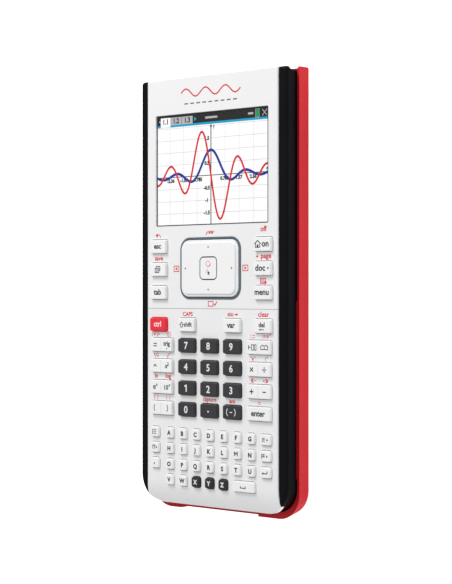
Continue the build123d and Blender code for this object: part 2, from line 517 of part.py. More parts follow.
def make_touchpad():
    with BuildPart() as ring:
        block(0, PAD_Y, RING_W, RING_H, RING_LOW_Z, RING_TOP_Z, RING_CORNER)
        block(0, PAD_Y, RING_W - 2 * RING_WIDTH, RING_H - 2 * RING_WIDTH, RING_LOW_Z, RING_TOP_Z + 1,
              RING_CORNER - RING_WIDTH, Mode.SUBTRACT)
    save(ring, "touchpad_ring")

    pad_w = RING_W - 2 * RING_WIDTH - 2 * PAD_GAP
    pad_h = RING_H - 2 * RING_WIDTH - 2 * PAD_GAP
    pad_corner = RING_CORNER - RING_WIDTH - PAD_GAP
    with BuildPart() as cap:
        block(0, PAD_Y, pad_w + 2 * PAD_FLANGE, pad_h + 2 * PAD_FLANGE, PAD_FLANGE_LOW_Z, PAD_FLANGE_TOP_Z,
              pad_corner)
        block(0, PAD_Y, pad_w, pad_h, PAD_FLANGE_TOP_Z, PAD_STEP_Z, pad_corner)
        round_edges(edges_at_height(cap, PAD_STEP_Z), 0.3)
        block(0, PAD_Y, pad_w - 2 * PAD_STEP, pad_h - 2 * PAD_STEP, PAD_STEP_Z, PAD_TOP_Z,
              pad_corner - PAD_STEP)
        round_edges(edges_at_height(cap, PAD_TOP_Z), 0.3)
        groove_z = PAD_TOP_Z - CENTRE_DEPTH
        block(0, PAD_Y, CENTRE_SIZE, CENTRE_SIZE, groove_z, PAD_TOP_Z + 1, CENTRE_CORNER, Mode.SUBTRACT)
        button = CENTRE_SIZE - 2 * CENTRE_GROOVE
        block(0, PAD_Y, button, button, groove_z, PAD_TOP_Z, CENTRE_CORNER - CENTRE_GROOVE)
        block(0, PAD_Y, SENSOR_W + 0.6, SENSOR_H + 0.6, PAD_FLANGE_LOW_Z, PAD_CAVITY_TOP_Z, 0, Mode.SUBTRACT)
    save(cap, "touchpad_cap")

    lug_y = GIMBAL_H / 2 + AXLE_L / 2
    with BuildPart() as sensor:
        block(0, PAD_Y, SENSOR_W, SENSOR_H, SENSOR_LOW_Z, SENSOR_TOP_Z)
        for side in (-1, 1):
            block(0, PAD_Y + side * (lug_y + 0.3), LUG, LUG, GIMBAL_Z - 0.1 - AXLE_HOLE_R, SENSOR_LOW_Z)
        with Locations(Location((0, PAD_Y, GIMBAL_Z), (90, 0, 0))):
            Cylinder(AXLE_HOLE_R, GIMBAL_H + 2 * AXLE_L + 2, mode=Mode.SUBTRACT)
    save(sensor, "touchpad_sensor")

    with BuildPart() as gimbal:
        low = GIMBAL_Z - GIMBAL_THICK / 2
        high = GIMBAL_Z + GIMBAL_THICK / 2
        block(0, PAD_Y, GIMBAL_W, GIMBAL_H, low, high)
        with Locations(Location((0, PAD_Y, GIMBAL_Z), (0, 90, 0))):
            Cylinder(AXLE_R, GIMBAL_W + 2 * AXLE_L)
        with Locations(Location((0, PAD_Y, GIMBAL_Z), (90, 0, 0))):
            Cylinder(AXLE_R, GIMBAL_H + 2 * AXLE_L)
        block(0, PAD_Y, GIMBAL_W - 2 * GIMBAL_BAR, GIMBAL_H - 2 * GIMBAL_BAR, low - 1, high + 1, 0,
              Mode.SUBTRACT)
    save(gimbal, "touchpad_gimbal")

    with BuildPart() as carrier:
        block(0, PAD_Y, CARRIER_W, CARRIER_H, CARRIER_LOW_Z, CARRIER_TOP_Z, 1)
        guides = [(x, PAD_Y + y) for x in (-GUIDE_X, GUIDE_X) for y in (-GUIDE_Y, GUIDE_Y)]
        posts(guides, GUIDE_R + 0.2, CARRIER_LOW_Z - 1, CARRIER_TOP_Z + 1, Mode.SUBTRACT)
        block(0, PAD_Y, 6, GIMBAL_H + 2 * AXLE_L + 3, CARRIER_LOW_Z - 1, CARRIER_TOP_Z + 1, 0, Mode.SUBTRACT)
        for side in (-1, 1):
            lug_x = side * (GIMBAL_W / 2 + AXLE_L / 2 + 0.3)
            block(lug_x, PAD_Y, LUG, LUG, CARRIER_TOP_Z - 0.2, GIMBAL_Z + AXLE_HOLE_R + 0.1)
        with Locations(Location((0, PAD_Y, GIMBAL_Z), (0, 90, 0))):
            Cylinder(AXLE_HOLE_R, GIMBAL_W + 2 * AXLE_L + 2, mode=Mode.SUBTRACT)
    save(carrier, "touchpad_carrier")


# ---- keys ---------------------------------------------------------------------------------

def make_key_group(name, keys):
    """One keycap, or one row of loose keycaps, each with its retaining flange."""
    top = keys[0].top
    with BuildPart() as part:
        for key in keys:
            low = ROCKER_LOW_Z if key.rocker else KEY_LOW_Z
            ledge = ROCKER_FLANGE_TOP_Z if key.rocker else FLANGE_TOP_Z
            block(key.x, key.y, key.w + 2 * FLANGE, key.h + 2 * FLANGE, low, ledge, key.corner + FLANGE)
            block(key.x, key.y, key.w, key.h, ledge, FACE_Z, key.corner)
            tapered_block(key.x, key.y, key.w, key.h, FACE_Z, top, key.corner, KEY_INSET)
        round_edges(edges_at_height(part, top), KEY_EDGE)
        for key in keys:
            if key.rocker:
                with Locations(Location((key.x, key.y, ROCKER_AXIS_Z), (90, 0, 0))):
                    Cylinder(ROCKER_AXLE_R, key.h + 2 * FLANGE + 2 * ROCKER_AXLE_REACH)
    save(part, name)


def make_key_mat():
    """Silicone mat with one dome per switch."""
    keys = all_keys(UPPER_KEYS, LOWER_KEYS)
    with BuildPart() as mat:
        block(0, (MAT_TOP + MAT_BOTTOM) / 2, 2 * MAT_HALF, MAT_TOP - MAT_BOTTOM, MAT_LOW_Z, MAT_TOP_Z, 3)
        window_h = MAT_TOP + 2 - MAT_WINDOW_LOW
        window_y = MAT_WINDOW_LOW + window_h / 2
        block(0, window_y, 2 * MAT_WINDOW_HALF, window_h, MAT_LOW_Z - 1, MAT_TOP_Z + 1, 0, Mode.SUBTRACT)
        posts([place for key in keys for place in key.domes()], DOME_R, MAT_LOW_Z, DOME_TOP_Z)
        posts(CASE_SCREWS, FRONT_BOSS_R + 0.3, MAT_LOW_Z - 1, DOME_TOP_Z, Mode.SUBTRACT)
    save(mat, "key_mat")


# ---- inside -------------------------------------------------------------------------------

def make_board():
    with BuildPart() as board:
        slab(outline(BOARD_HALF, BOARD_TOP, BOARD_BOTTOM, BOARD_CORNER), BOARD_LOW_Z, BOARD_TOP_Z)
        posts(CASE_SCREWS, FRONT_BOSS_R + 0.4, BOARD_LOW_Z - 1, BOARD_TOP_Z + 1, Mode.SUBTRACT)
    save(board, "main_board")

    with BuildPart() as chips:
        for x, y, w, h in CHIPS:
            block(x, y, w, h, CHIP_LOW_Z, BOARD_LOW_Z)
        # switch above the reset plunger, connector for the display cable, dome under the touchpad
        block(RESET_X, RESET_Y, 4, 4, BOARD_LOW_Z - 0.8, BOARD_LOW_Z)
        block(0, FLEX_START_Y + 2, FLEX_W + 2, 3, BOARD_TOP_Z, FLEX_Z)
        posts([(0, PAD_Y - 9), (0, PAD_Y + 9)], 2, BOARD_TOP_Z, BOARD_TOP_Z + 0.3)
    save(chips, "board_chips")


def make_battery():
    with BuildPart() as battery:
        block(0, BATTERY_Y, BATTERY_W, BATTERY_L, BATTERY_LOW_Z, BATTERY_TOP_Z, BATTERY_CORNER)
    save(battery, "battery")

    with BuildPart() as contacts:
        for x in CONTACTS_X:
            block(x, CONTACT_Y, 1.6, 0.5, BATTERY_LOW_Z + 1, BOARD_LOW_Z)
            block(x, CONTACT_Y - 0.45, 1.6, 0.6, BATTERY_LOW_Z + 1.6, BATTERY_LOW_Z + 2.6)
    save(contacts, "battery_contacts")

    door_y = (DOOR_LOW_Y + DOOR_HIGH_Y) / 2
    door_l = DOOR_HIGH_Y - DOOR_LOW_Y
    top = REAR_Z + DOOR_THICK
    with BuildPart() as door:
        block(0, door_y, 2 * DOOR_HALF, door_l, REAR_Z, top, DOOR_CORNER)
        for x in (-TONGUE_X, TONGUE_X):
            block(x, DOOR_HIGH_Y - 0.7, TONGUE_W, 1.4, top - 0.2, top + 0.9)
            block(x, DOOR_HIGH_Y, TONGUE_W, 2 * TONGUE_REACH - 0.4, top + 0.2, top + 0.9)
        posts(DOOR_SCREWS, HEAD_HOLE_R, REAR_Z - 1, DOOR_SCREW_SEAT_Z, Mode.SUBTRACT)
        posts(DOOR_SCREWS, SHANK_HOLE_R, REAR_Z, top + 1, Mode.SUBTRACT)
    save(door, "battery_door")


def make_screws():
    """Six case screws and two door screws, cross-slotted, all driven in from the back."""
    with BuildPart() as screws:
        for places, seat, length in (
            (CASE_SCREWS, CASE_SCREW_SEAT_Z, CASE_SCREW_L),
            (DOOR_SCREWS, DOOR_SCREW_SEAT_Z, DOOR_SCREW_L),
        ):
            head_low = seat - SCREW_HEAD_H
            posts(places, SCREW_HEAD_R, head_low, seat)
            posts(places, SCREW_R, seat, seat + length)
            for x, y in places:
                block(x, y, 2.2, 0.5, head_low - 1, head_low + 0.45, 0, Mode.SUBTRACT)
                block(x, y, 0.5, 2.2, head_low - 1, head_low + 0.45, 0, Mode.SUBTRACT)
    save(screws, "case_screws")


def make_small_parts():
    with BuildPart() as feet:
        posts(FEET, FOOT_R, REAR_Z - FOOT_PROUD, REAR_Z + FOOT_SINK)
    save(feet, "rubber_feet")

    with BuildPart() as reset:
        posts([(RESET_X, RESET_Y)], RESET_R, REAR_Z + 0.3, 8.1)
        posts([(RESET_X, RESET_Y)], RESET_R + 0.9, REAR_Z + REAR_FLOOR + 0.1, REAR_Z + REAR_FLOOR + 0.9)
    save(reset, "reset_button")

    usb_top = BOARD_LOW_Z - 0.1
    usb_end = REAR_TOP - 0.3
    with BuildPart() as usb:
        block(USB_X, usb_end - USB_L / 2, USB_W, USB_L, usb_top - USB_H, usb_top)
        round_edges(usb.edges().filter_by(Axis.Y).group_by(Axis.Z)[0], 0.9)
        block(USB_X, usb_end - 3.5, USB_W - 0.8, 7.02, usb_top - USB_H + 0.9, usb_top - 0.4, 0, Mode.SUBTRACT)
        block(USB_X, usb_end - 4.5, USB_W - 0.8, 5.02, usb_top - USB_H + 0.4, usb_top - 0.4, 0, Mode.SUBTRACT)
        block(USB_X, usb_end - 5.2, USB_W - 3.0, 6.0, usb_top - USB_H / 2 - 0.3, usb_top - USB_H / 2 + 0.3)
    save(usb, "usb_port")

    with BuildPart() as dock:
        block(0, DOCK_Y, DOCK_W, DOCK_H, REAR_Z + 0.4, BOARD_LOW_Z - 0.1, 0.9)
        block(0, DOCK_Y, DOCK_W - 2, DOCK_H - 2, REAR_Z - 1, REAR_Z + 3.4, 0.5, Mode.SUBTRACT)
        for i in range(DOCK_PINS):
            block((i - (DOCK_PINS - 1) / 2) * DOCK_PITCH, DOCK_Y, 1.0, 1.2, REAR_Z + 1.2, REAR_Z + 3.6)
    save(dock, "dock_connector")


# ---- build --------------------------------------------------------------------------------

os.makedirs("parts", exist_ok=True)
make_upper_faceplate()
make_lower_faceplate()
make_front_case()
make_rear_case()
make_slide_cover()
make_display()
make_touchpad()
for group_name, group_keys in {**UPPER_KEYS, **LOWER_KEYS}.items():
    make_key_group(group_name, group_keys)
make_key_mat()
make_board()
make_battery()
make_screws()
make_small_parts()
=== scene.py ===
import math

import bmesh
import bpy
from mathutils import Matrix, Vector


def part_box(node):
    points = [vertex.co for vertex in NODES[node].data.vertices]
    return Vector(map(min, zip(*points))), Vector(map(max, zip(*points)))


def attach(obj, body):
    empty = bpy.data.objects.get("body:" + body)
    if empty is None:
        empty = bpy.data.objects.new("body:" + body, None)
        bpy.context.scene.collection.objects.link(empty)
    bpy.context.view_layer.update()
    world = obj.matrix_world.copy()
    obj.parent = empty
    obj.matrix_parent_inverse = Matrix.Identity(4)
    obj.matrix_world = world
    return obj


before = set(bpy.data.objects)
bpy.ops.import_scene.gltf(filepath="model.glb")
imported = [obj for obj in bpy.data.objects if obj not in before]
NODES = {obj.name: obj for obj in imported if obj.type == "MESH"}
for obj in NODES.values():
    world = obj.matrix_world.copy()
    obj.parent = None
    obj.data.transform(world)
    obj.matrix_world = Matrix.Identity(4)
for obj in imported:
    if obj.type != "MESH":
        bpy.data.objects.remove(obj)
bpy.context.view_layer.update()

MM = 0.001

# ---- the same layout dimensions as the CAD, in millimetres -------------------------------------

FACE_Z = 16.0              # the tops of the faceplates, keys, letter keys, touchpad and display
KEY_TOP_Z = 17.45
LETTER_TOP_Z = 17.2
PAD_TOP_Z = 17.4
LCD_TOP_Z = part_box("lcd_panel")[1].z / MM
PAD_Y = 11.05              # the middles of the touchpad and the display
SCREEN_Y = 55.0


# ---- materials ---------------------------------------------------------------------------------

NOISE_LOW, NOISE_HIGH = 0.3, 0.7       # most of a noise texture lies between these
GLOSS_VARY = 0.05                      # how far a plastic's roughness wanders either way
GRAIN_HEIGHT = 0.00003                 # heights of the bumps, in metres
BRUSH_HEIGHT = 0.00002


def linear(r, g, b):
    """Linear colour from an 8-bit sRGB triple."""
    def channel(v):
        v /= 255.0
        return v / 12.92 if v <= 0.04045 else ((v + 0.055) / 1.055) ** 2.4
    return (channel(r), channel(g), channel(b), 1.0)


class NodeTree:
    """A small helper for building one material's node tree."""

    def __init__(self, name):
        self.material = bpy.data.materials.new(name)
        self.material.use_nodes = True
        self.tree = self.material.node_tree
        self.shader = self.tree.nodes["Principled BSDF"]
        self.coords = self.add("ShaderNodeTexCoord").outputs["Object"]

    def add(self, kind, **values):
        node = self.tree.nodes.new(kind)
        for key, value in values.items():
            setattr(node, key, value)
        return node

    def link(self, source, target):
        self.tree.links.new(source, target)

    def noise(self, scale, detail, stretch=None):
        node = self.add("ShaderNodeTexNoise")
        node.inputs["Scale"].default_value = scale
        node.inputs["Detail"].default_value = detail
        vector = self.coords
        if stretch:
            mapping = self.add("ShaderNodeMapping")
            mapping.inputs["Scale"].default_value = stretch
            self.link(vector, mapping.inputs["Vector"])
            vector = mapping.outputs["Vector"]
        self.link(vector, node.inputs["Vector"])
        return node.outputs["Fac"]

    def spread(self, value, low, high):
        """Maps a noise's middle range onto low to high."""
        node = self.add("ShaderNodeMapRange")
        node.inputs["From Min"].default_value = NOISE_LOW
        node.inputs["From Max"].default_value = NOISE_HIGH
        node.inputs["To Min"].default_value = low
        node.inputs["To Max"].default_value = high
        self.link(value, node.inputs["Value"])
        return node.outputs["Result"]

    def tone(self, value, dark, light):
        """The base colour, moving from dark to light with a noise."""
        node = self.add("ShaderNodeMix", data_type="RGBA")
        node.inputs["A"].default_value = dark
        node.inputs["B"].default_value = light
        self.link(self.spread(value, 0.0, 1.0), node.inputs["Factor"])
        self.link(node.outputs["Result"], self.shader.inputs["Base Color"])

    def gloss(self, value, low, high):
        """The roughness, moving from low to high with a noise."""
        self.link(self.spread(value, low, high), self.shader.inputs["Roughness"])

    def bump(self, value, strength, distance):
        node = self.add("ShaderNodeBump")
        node.inputs["Strength"].default_value = strength
        node.inputs["Distance"].default_value = distance
        self.link(value, node.inputs["Height"])
        self.link(node.outputs["Normal"], self.shader.inputs["Normal"])


def shade(colour, factor):
    """The colour made darker or lighter."""
    return tuple(c * factor for c in colour[:3]) + (1.0,)


def plastic(name, colour, rough, grain, depth, vary, specular=0.5):
    """Moulded plastic: fine spark-eroded grain, slightly uneven gloss and tone."""
    n = NodeTree(name)
    n.tone(n.noise(55.0, 4.0), shade(colour, 1 - vary), shade(colour, 1 + vary))
    smear = n.noise(240.0, 5.0, (1.0, 0.35, 1.0))
    n.gloss(smear, rough - GLOSS_VARY, rough + GLOSS_VARY)
    n.bump(n.noise(grain, 2.0), depth, GRAIN_HEIGHT)
    n.shader.inputs["Specular IOR Level"].default_value = specular
    return n.material


def ink(name, colour, rough=0.5, glow=0.0):
    """Printed or lit marks, and the painted groove shade on the double keys: one tone with the slight
    unevenness of pad printing.
    """
    n = NodeTree(name)
    n.tone(n.noise(3500.0, 2.0), shade(colour, 0.94), shade(colour, 1.06))
    n.shader.inputs["Roughness"].default_value = rough
    if glow:
        n.shader.inputs["Emission Color"].default_value = colour
        n.shader.inputs["Emission Strength"].default_value = glow
    return n.material


def brushed(name, colour, rough):
    """Metal with fine lines along x."""
    n = NodeTree(name)
    lines = n.noise(900.0, 3.0, (1.0, 30.0, 1.0))
    n.tone(lines, shade(colour, 0.85), shade(colour, 1.1))
    n.gloss(lines, rough - 0.08, rough + 0.1)
    n.shader.inputs["Metallic"].default_value = 1.0
    n.bump(lines, 0.2, BRUSH_HEIGHT)
    return n.material


WHITE_PLATE = plastic("white_plate", linear(240, 240, 241), 0.42, 1500.0, 0.30, 0.012)
WHITE_KEY = plastic("white_keycap", linear(245, 245, 246), 0.38, 2200.0, 0.20, 0.010)
BLACK_CASE = plastic("black_case", linear(14, 14, 17), 0.36, 1500.0, 0.25, 0.10, 0.07)
RED_COVER = plastic("red_cover", linear(195, 29, 38), 0.42, 1500.0, 0.40, 0.05, 0.22)
RED_KEY = plastic("red_keycap", linear(240, 44, 58), 0.40, 2200.0, 0.20, 0.02, 0.35)
GREY_KEY = plastic("grey_keycap", linear(46, 46, 49), 0.42, 2200.0, 0.25, 0.04)
BLACK_KEY = plastic("black_keycap", linear(30, 31, 35), 0.42, 2200.0, 0.25, 0.04)
RING = plastic("blue_grey_ring", linear(84, 102, 112), 0.45, 2200.0, 0.20, 0.03)
SILICONE = plastic("silicone", linear(190, 190, 190), 0.6, 2500.0, 0.30, 0.03, 0.3)
RUBBER = plastic("rubber_foot", linear(35, 35, 36), 0.8, 1800.0, 0.6, 0.08, 0.3)
BOARD = plastic("solder_mask", linear(20, 92, 50), 0.3, 700.0, 0.5, 0.15)
CHIP = plastic("chip_black", linear(34, 34, 36), 0.55, 2500.0, 0.4, 0.08)
WRAP = plastic("battery_wrap", linear(60, 66, 84), 0.35, 500.0, 0.3, 0.05)
FLEX = plastic("flex_film", linear(170, 110, 40), 0.3, 900.0, 0.2, 0.08)
STEEL = brushed("screw_steel", linear(175, 175, 178), 0.32)
GOLD = brushed("gold_contact", linear(225, 185, 100), 0.25)
DARK_INK = ink("dark_ink", linear(16, 16, 20))
LIGHT_INK = ink("light_ink", linear(236, 236, 236))
RED_INK = ink("red_ink", linear(218, 30, 46))
SLATE_INK = ink("slate_ink", linear(88, 98, 108))
# painted shade: this grey stands in for the shadow in the groove down the middle of a double key
PAINTED_GROOVE_SHADE = ink("painted_groove_shade", linear(196, 196, 198))
SCREEN_WHITE = ink("screen_white", linear(249, 249, 250), 0.3, 0.19)
SCREEN_DARK = ink("screen_dark", linear(24, 24, 26), 0.3)
SCREEN_GREY = ink("screen_grey", linear(190, 190, 192), 0.3)
SCREEN_CYAN = ink("screen_cyan", linear(0, 168, 212), 0.3)
SCREEN_GREEN = ink("screen_green", linear(0, 165, 80), 0.3)
SCREEN_RED = ink("screen_red", linear(228, 10, 18), 0.3)
SCREEN_BLUE = ink("screen_blue", linear(22, 46, 158), 0.3)
SCREEN_GRID = ink("screen_grid", linear(212, 212, 214), 0.3)
SCREEN_TEXT = ink("screen_text", linear(18, 18, 22), 0.3)


def clear_sheet():
    """The display's hard-coated window: a nearly invisible body with a reflecting face."""
    n = NodeTree("clear_window")
    n.shader.inputs["Base Color"].default_value = (0.05, 0.05, 0.06, 1.0)
    n.shader.inputs["Alpha"].default_value = 0.03
    n.shader.inputs["Specular IOR Level"].default_value = 0.12
    n.gloss(n.noise(400.0, 3.0), 0.06, 0.12)
    return n.material


CLEAR = clear_sheet()

NODE_MATERIALS = {
    "upper_faceplate": WHITE_PLATE, "lower_faceplate": WHITE_PLATE, "front_case": BLACK_CASE,
    "rear_case": BLACK_CASE, "slide_cover": RED_COVER, "battery_door": BLACK_CASE, "battery": WRAP,
    "battery_contacts": GOLD, "case_screws": STEEL, "main_board": BOARD, "board_chips": CHIP,
    "lcd_panel": SCREEN_WHITE, "lcd_frame": BLACK_CASE, "display_window": CLEAR, "lcd_flex_cable": FLEX,
    "touchpad_ring": RING, "touchpad_cap": WHITE_KEY, "touchpad_sensor": BOARD, "touchpad_gimbal": STEEL,
    "touchpad_carrier": BLACK_CASE, "key_mat": SILICONE, "usb_port": STEEL, "dock_connector": CHIP,
    "reset_button": CHIP, "rubber_feet": RUBBER, "control_key": RED_KEY, "xyz_keys": BLACK_KEY,
}
for name, node in NODES.items():
    if name in NODE_MATERIALS:
        material = NODE_MATERIALS[name]
    elif name.startswith("digit_") or name in ("decimal_point_key", "negative_key"):
        material = GREY_KEY
    else:
        material = WHITE_KEY
    node.data.materials.clear()
    node.data.materials.append(material)


# ---- flat printed marks ------------------------------------------------------------------------

PRINT = 0.02               # thickness of a printed mark
PRINT_GAP = 0.002          # and the gap under it
LIFT, LIFTS = 0.2, 5       # a shape's lift, as a share of the thickness, and how many heights there are
LEAST_COSINE = 0.4         # keeps the mitre of a sharp corner short
ARC_STEPS = 14
CORNER_STEPS = 6
CAPITAL_MIDDLE = 0.345     # middle of the font's capitals and small letters, as a share of its size
SMALL_MIDDLE = 0.26


def circle(x, y, r, sides):
    """The corners of a circle drawn with straight sides."""
    return [(x + r * math.cos(t), y + r * math.sin(t))
            for t in (2 * math.pi * i / sides for i in range(sides))]


def rectangle(x, y, w, h):
    """The corners of a rectangle about x, y."""
    dx, dy = w / 2, h / 2
    return [(x - dx, y - dy), (x + dx, y - dy), (x + dx, y + dy), (x - dx, y + dy)]


def rounded(w, h, r):
    """The outline of a rounded rectangle about the drawing origin."""
    dx, dy = w / 2 - r, h / 2 - r
    points = []
    for cx, cy, start in ((dx, dy, 0), (-dx, dy, 90), (-dx, -dy, 180), (dx, -dy, 270)):
        for i in range(CORNER_STEPS + 1):
            t = math.radians(start + 90 * i / CORNER_STEPS)
            points.append((cx + r * math.cos(t), cy + r * math.sin(t)))
    return points


class Print:
    """Thin printed marks that lie on one surface, gathered into one piece.

    Shapes are given in millimetres from the drawing origin.
    """

    def __init__(self, name, body, material, slot, z, thick=PRINT):
        self.name, self.body, self.material, self.slot = name, body, material, slot
        self.low = z + PRINT_GAP
        self.high = self.low + thick
        self.mesh = bmesh.new()
        self.origin = (0.0, 0.0)
        self.shapes = 0

    def top(self):
        """The height of the next shape's face.

        Shapes that cross differ a little, so they never share a face.
        """
        self.shapes += 1
        return self.high + LIFT * (self.high - self.low) * (self.shapes % LIFTS)

    def at(self, x, y):
        """Moves the drawing origin and returns the print."""
        self.origin = (x, y)
        return self

    def ring(self, points, z):
        """New vertices over the points, all at height z."""
        ox, oy = self.origin
        return [self.mesh.verts.new(((x + ox) * MM, (y + oy) * MM, z * MM)) for x, y in points]

    def prism(self, points):
        """A closed prism over one outline."""
        low, high = self.ring(points, self.low), self.ring(points, self.top())
        self.mesh.faces.new(high)
        self.mesh.faces.new(low[::-1])
        for i in range(len(points)):
            j = (i + 1) % len(points)
            self.mesh.faces.new((low[i], low[j], high[j], high[i]))

    def box(self, x, y, w, h):
        self.prism(rectangle(x, y, w, h))

    def disc(self, x, y, r, sides=20):
        self.prism(circle(x, y, r, sides))

    def stroke(self, points, width, closed=False):
        """A line of even width with mitred corners."""
        count = len(points)
        left, right = [], []
        for i, point in enumerate(points):
            before = points[i - 1] if (closed or i > 0) else point
            after = points[(i + 1) % count] if (closed or i < count - 1) else point
            a = Vector(point) - Vector(before)
            b = Vector(after) - Vector(point)
            a = a.normalized() if a.length > 1e-9 else b.normalized()
            b = b.normalized() if b.length > 1e-9 else a
            along = (a + b).normalized() if (a + b).length > 1e-6 else a
            normal = Vector((-along.y, along.x))
            grow = 1.0 / max(LEAST_COSINE, normal.dot(Vector((-a.y, a.x))))
            left.append(tuple(Vector(point) + normal * width / 2 * grow))
            right.append(tuple(Vector(point) - normal * width / 2 * grow))
        top = self.top()
        left_low, left_high = self.ring(left, self.low), self.ring(left, top)
        right_low, right_high = self.ring(right, self.low), self.ring(right, top)
        for i in range(count if closed else count - 1):
            j = (i + 1) % count
            self.mesh.faces.new((right_high[i], right_high[j], left_high[j], left_high[i]))
            self.mesh.faces.new((left_low[i], left_low[j], right_low[j], right_low[i]))
            self.mesh.faces.new((right_low[i], right_low[j], right_high[j], right_high[i]))
            self.mesh.faces.new((left_high[i], left_high[j], left_low[j], left_low[i]))
        if not closed:
            self.mesh.faces.new((left_low[0], right_low[0], right_high[0], left_high[0]))
            self.mesh.faces.new((right_low[-1], left_low[-1], left_high[-1], right_high[-1]))

    def arc(self, x, y, r, start, end, width):
        """A line along part of a circle, between two angles in degrees."""
        turns = [math.radians(start + (end - start) * i / ARC_STEPS) for i in range(ARC_STEPS + 1)]
        self.stroke([(x + r * math.cos(t), y + r * math.sin(t)) for t in turns], width)

    def loop(self, x, y, r, width, sides=20):
        self.stroke(circle(x, y, r, sides), width, closed=True)

    def frame(self, x, y, w, h, width):
        self.stroke(rectangle(x, y, w, h), width, closed=True)

    def text(self, words, x, y, size, bold, slant=0.0):
        """Lettering centred on x, with y at the middle of its lower-case or capital height."""
        curve = bpy.data.curves.new("lettering", "FONT")
        curve.body = words
        curve.size = size * MM
        curve.offset = bold * MM
        curve.shear = slant
        curve.align_x = "CENTER"
        curve.resolution_u = 3
        top = self.top()
        curve.extrude = (top - self.low) / 2 * MM
        holder = bpy.data.objects.new("lettering", curve)
        made = bpy.data.meshes.new_from_object(holder)
        tall = any(c.isupper() or c.isdigit() or c in "()[]{}!?" for c in words)
        middle = size * (CAPITAL_MIDDLE if tall else SMALL_MIDDLE)
        ox, oy = self.origin
        place = ((x + ox) * MM, (y + oy - middle) * MM, (self.low + top) / 2 * MM)
        made.transform(Matrix.Translation(place))
        self.mesh.from_mesh(made)
        bpy.data.meshes.remove(made)
        bpy.data.objects.remove(holder)
        bpy.data.curves.remove(curve)

    def finish(self):
        """Makes the piece, which moves with its body and takes the print's material."""
        mesh = bpy.data.meshes.new(self.name)
        bmesh.ops.recalc_face_normals(self.mesh, faces=self.mesh.faces)
        self.mesh.to_mesh(mesh)
        self.mesh.free()
        mesh.materials.append(self.material)
        piece = bpy.data.objects.new(self.name, mesh)
        bpy.context.scene.collection.objects.link(piece)
        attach(piece, self.body)


# ---- legends on the keys -----------------------------------------------------------------------

WORD, DIGIT, LETTER = 3.3, 4.4, 2.7    # type sizes
WORD_BOLD = 0.10
DIGIT_BOLD = 0.09
LETTER_BOLD = 0.12


def centre_of(node):
    low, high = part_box(node)
    return ((low.x + high.x) / 2 / MM, (low.y + high.y) / 2 / MM)


def key_print(node, material=DARK_INK, slot="chip_black"):
    """An empty legend about the middle of a key's top."""
    return Print(f"{node}_legend", node, material, slot, KEY_TOP_Z).at(*centre_of(node))


def word_key(node, words, size=WORD, material=DARK_INK, bold=WORD_BOLD, slot="chip_black"):
    mark = key_print(node, material, slot)
    mark.text(words, 0, 0, size, bold)
    mark.finish()


word_key("escape_key", "esc")
word_key("tab_key", "tab", 3.55)
word_key("menu_key", "menu", 3.6)
word_key("variable_key", "var", 3.5)
word_key("enter_key", "enter", 3.5)
word_key("control_key", "ctrl", 3.4, LIGHT_INK, 0.08, "white_key")

mark = key_print("on_key")                  # a house beside the word
mark.text("on", 2.0, 0, 3.8, WORD_BOLD)
mark.stroke([(-4.0, 0.1), (-2.25, 1.6), (-0.5, 0.1)], 0.4)
mark.stroke([(-3.45, 0.3), (-3.45, -1.3), (-1.05, -1.3), (-1.05, 0.3)], 0.36)
mark.box(-2.25, -0.7, 0.8, 1.2)
mark.finish()

mark = key_print("document_key")            # the word and a small down arrow
mark.text("doc", -0.8, 0, 3.75, WORD_BOLD)
mark.prism([(2.9, 0.4), (3.5, -0.5), (4.1, 0.4)])
mark.finish()

mark = key_print("notepad_key")             # a sheet of ruled paper before another
mark.frame(-0.3, -0.35, 2.3, 1.9, 0.34)
mark.stroke([(-0.7, 0.9), (-0.7, 1.4), (1.5, 1.4), (1.5, -0.4), (1.0, -0.4)], 0.34)
for line in (0.1, -0.4, -0.9):
    mark.box(-0.3, line, 1.4, 0.2)
mark.finish()

mark = key_print("shift_key")               # a wide up arrow beside the word
mark.text("shift", 1.15, 0, 2.8, 0.07)
arrow = [(-3.7, 0.1), (-2.6, 1.25), (-1.5, 0.1), (-2.1, 0.1), (-2.1, -1.0), (-3.1, -1.0), (-3.1, 0.1)]
mark.stroke(arrow, 0.3, closed=True)
mark.finish()

mark = key_print("delete_key")              # an arrow to the left under the word
mark.text("del", 0, 0.35, 2.9, 0.08)
mark.stroke([(-0.9, -1.5), (1.2, -1.5)], 0.34)
mark.prism([(-1.6, -1.5), (-0.8, -1.05), (-0.8, -1.95)])
mark.finish()

for digit in range(10):
    node = f"digit_{digit}_key"
    mark = key_print(node, LIGHT_INK, "white_key")
    if digit == 1:                          # drawn without the foot that the font gives it
        mark.box(0.25, 0, 0.66, 3.1)
        mark.prism([(-0.08, 1.55), (-0.85, 1.1), (-0.85, 0.45), (-0.08, 0.85)])
    else:
        mark.text(str(digit), 0, 0, DIGIT, DIGIT_BOLD)
    mark.finish()

mark = key_print("decimal_point_key", LIGHT_INK, "white_key")
mark.disc(0, -0.3, 0.42)
mark.finish()

mark = key_print("negative_key", LIGHT_INK, "white_key")    # a minus between brackets
mark.arc(-0.55, 0, 2.0, 130, 230, 0.34)
mark.arc(0.55, 0, 2.0, -50, 50, 0.34)
mark.box(0, 0, 1.5, 0.36)
mark.finish()

HALF = 3.55                # from a double key's middle to each of its legends
# the line between a double key's legends is painted shade for the groove there
GROOVE_SHADE_LINE = (0.14, 5.2, 0.008)            # width, length and thickness of the line between them


def double_key(node, left, right):
    """Two legends with a fine grey line between them: painted shade for the groove down the key's middle.
    """
    mark = key_print(node)
    left(mark, -HALF)
    right(mark, HALF)
    mark.finish()
    width, length, thick = GROOVE_SHADE_LINE
    # painted shade: a grey line on the flat top stands in for the shadow in the middle groove
    line = Print(f"{node}_divide", node, PAINTED_GROOVE_SHADE, "white_key", KEY_TOP_Z, thick)
    line.at(*centre_of(node)).box(0, 0, width, length)
    line.finish()


def equals(m, x):
    for dy in (0.55, -0.55):
        m.box(x, dy, 2.1, 0.42)


